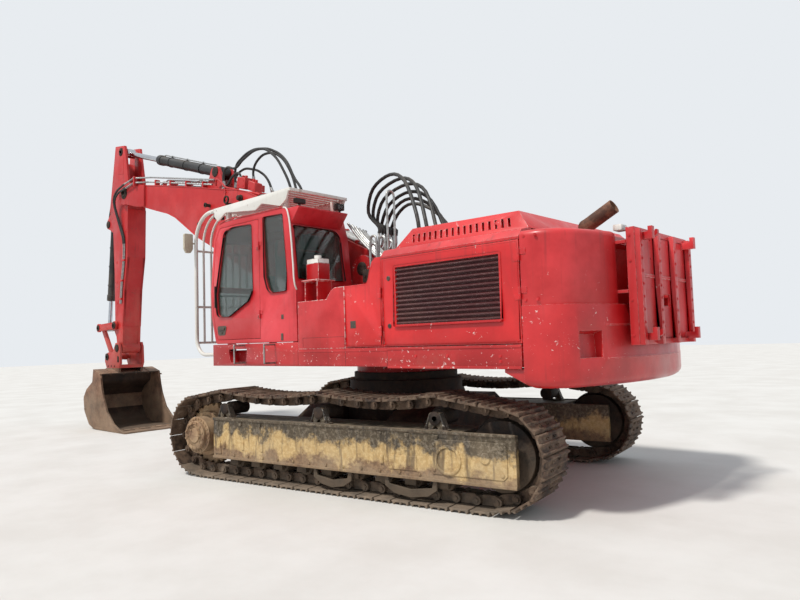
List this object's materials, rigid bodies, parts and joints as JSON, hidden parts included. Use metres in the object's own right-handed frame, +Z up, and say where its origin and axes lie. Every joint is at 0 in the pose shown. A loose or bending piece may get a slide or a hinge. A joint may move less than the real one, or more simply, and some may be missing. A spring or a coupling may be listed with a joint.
{
  "type": "crawler excavator",
  "caption": "Crawler excavator with slewing upper works, side cab, jointed boom, stick and bucket worked by hydraulic cylinders, on two steel tracks.",
  "frame": {"origin": "on the ground, on the swing axis", "axes": "+X forward along the boom, +Y to the cab side, +Z up"},
  "size_m": [12.945, 4.3353, 6.26],
  "materials": {
    "red_paint": "sun-worn gloss",
    "track_steel": "rusty, dusty",
    "frame_paint": "worn paint over rust",
    "bucket_steel": "rusty, dusty",
    "black_paint": "satin",
    "chrome_rod": "polished",
    "silver_pipe": "zinc plated",
    "white_paint": "chipped gloss",
    "beige_plastic": "matt",
    "window_glass": "clear, lightly tinted",
    "seat_fabric": "woven",
    "hose_rubber": "matt",
    "exhaust_rust": "rusty"
  },
  "bodies": {
    "undercarriage": {"car_body": "track_steel", "slew_ring": "track_steel", "track_frame_left": "frame_paint", "track_frame_right": "frame_paint", "track_left": "track_steel", "track_right": "track_steel", "final_drives": "track_steel", "idlers": "track_steel", "bottom_rollers": "track_steel", "carrier_rollers": "track_steel"},
    "cab_door": {"cab_door": "red_paint", "door_glass": "window_glass"},
    "engine_door_left": {"engine_door_left": "red_paint"},
    "engine_door_right": {"engine_door_right": "red_paint"},
    "service_door": {"service_door": "red_paint"},
    "hood_lid": {"hood_lid": "red_paint"},
    "boom": {"boom_base": "red_paint", "boom_front": "red_paint", "boom_pipes": "silver_pipe", "stick_hoses": "hose_rubber"},
    "boom_barrels": {"boom_barrels": "black_paint"},
    "boom_rods": {"boom_rods": "chrome_rod"},
    "stick_barrel": {"stick_barrel": "black_paint"},
    "stick_rod": {"stick_rod": "chrome_rod"},
    "stick": {"stick": "red_paint"},
    "bucket_barrel": {"bucket_barrel": "black_paint"},
    "bucket_rod": {"bucket_rod": "chrome_rod"},
    "rockers": {"rockers": "red_paint"},
    "bucket_link": {"bucket_link": "red_paint"},
    "bucket": {"quick_coupler": "red_paint", "bucket": "bucket_steel"},
    "upper": {"upper_frame": "red_paint", "counterweight": "red_paint", "rear_cowl": "red_paint", "rear_guard": "red_paint", "side_body_left": "red_paint", "bulkhead": "red_paint", "fuel_tank": "red_paint", "oil_tank": "red_paint", "front_locker": "red_paint", "engine": "black_paint", "exhaust": "exhaust_rust", "cab_shell": "red_paint", "cab_mounts": "black_paint", "cab_glass": "window_glass", "cab_seat": "seat_fabric", "cab_console": "black_paint", "roof_guard": "white_paint", "front_guard": "white_paint", "cab_mirror": "beige_plastic", "handrails": "red_paint", "canister": "red_paint", "arch_hoses": "hose_rubber"}
  },
  "joints": [
    {"name": "slew", "type": "hinge", "parent": "undercarriage", "child": "upper", "pos_m": [0, 0, 1.3], "axis": [0, 0, 1], "continuous": true},
    {"name": "boom_lift", "type": "hinge", "parent": "upper", "child": "boom", "pos_m": [0.32, 0, 2.69], "axis": [0, -1, 0], "range_deg": [-48, 38], "deforming": ["arch_hoses"]},
    {"name": "stick_fold", "type": "hinge", "parent": "boom", "child": "stick", "pos_m": [7.79, 0, 5.08], "axis": [0, 1, 0], "range_deg": [-60, 42], "deforming": ["stick_hoses"]},
    {"name": "bucket_curl", "type": "hinge", "parent": "stick", "child": "bucket", "pos_m": [8.2, 0, 1.73], "axis": [0, 1, 0], "range_deg": [-40, 130]},
    {"name": "boom_barrel_swing", "type": "hinge", "parent": "upper", "child": "boom_barrels", "pos_m": [0.96, 0, 1.79], "axis": [0, -1, 0], "range_deg": [-48.5, 38.5]},
    {"name": "boom_rod_slide", "type": "slide", "parent": "boom_barrels", "child": "boom_rods", "axis": [0.7502, 0, 0.6612], "range_m": [-0.87, 0.69]},
    {"name": "stick_barrel_swing", "type": "hinge", "parent": "boom", "child": "stick_barrel", "pos_m": [4.4, 0, 4.9], "axis": [0, 1, 0], "range_deg": [-8, 6]},
    {"name": "stick_rod_slide", "type": "slide", "parent": "stick_barrel", "child": "stick_rod", "axis": [0.9532, 0, 0.3024], "range_m": [-0.95, 0.68]},
    {"name": "rocker_swing", "type": "hinge", "parent": "stick", "child": "rockers", "pos_m": [8.37, 0, 2.23], "axis": [0, 1, 0], "range_deg": [-25, 79]},
    {"name": "link_swing", "type": "hinge", "parent": "rockers", "child": "bucket_link", "pos_m": [9.18, 0, 2.2], "axis": [0, 1, 0], "range_deg": [-32, 11]},
    {"name": "bucket_barrel_swing", "type": "hinge", "parent": "stick", "child": "bucket_barrel", "pos_m": [8.88, 0, 4.56], "axis": [0, 1, 0], "range_deg": [-5, 14]},
    {"name": "bucket_rod_slide", "type": "slide", "parent": "bucket_barrel", "child": "bucket_rod", "axis": [0.1261, 0, -0.992], "range_m": [-0.28, 0.87]},
    {"name": "cab_door_hinge", "type": "hinge", "parent": "upper", "child": "cab_door", "pos_m": [1.2365, 1.5025, 2.58], "axis": [0, 0, 1], "range_deg": [0, 150]},
    {"name": "engine_door_left_hinge", "type": "hinge", "parent": "upper", "child": "engine_door_left", "pos_m": [-2.776, 1.5025, 2.1], "axis": [0, 0, 1], "range_deg": [0, 110]},
    {"name": "engine_door_right_hinge", "type": "hinge", "parent": "upper", "child": "engine_door_right", "pos_m": [-2.776, -1.5025, 2.1], "axis": [0, 0, -1], "range_deg": [0, 110]},
    {"name": "service_door_hinge", "type": "hinge", "parent": "upper", "child": "service_door", "pos_m": [-1, 1.5025, 2.1], "axis": [0, 0, 1], "range_deg": [0, 100]},
    {"name": "hood_lid_hinge", "type": "hinge", "parent": "upper", "child": "hood_lid", "pos_m": [-2.786, 0, 2.744], "axis": [0, -1, 0], "range_deg": [0, 50]}
  ],
  "couplings": [
    {"joint": "boom_barrel_swing", "follows": "boom_lift", "ratio": 0.991},
    {"joint": "boom_rod_slide", "follows": "boom_lift", "m_per_rad": 1.0191},
    {"joint": "stick_barrel_swing", "follows": "stick_fold", "ratio": 0.1251},
    {"joint": "stick_rod_slide", "follows": "stick_fold", "m_per_rad": 0.8813},
    {"joint": "rocker_swing", "follows": "bucket_curl", "ratio": 0.5959},
    {"joint": "link_swing", "follows": "bucket_curl", "ratio": -0.2364},
    {"joint": "bucket_barrel_swing", "follows": "bucket_curl", "ratio": 0.0933},
    {"joint": "bucket_rod_slide", "follows": "bucket_curl", "m_per_rad": 0.3775}
  ]
}
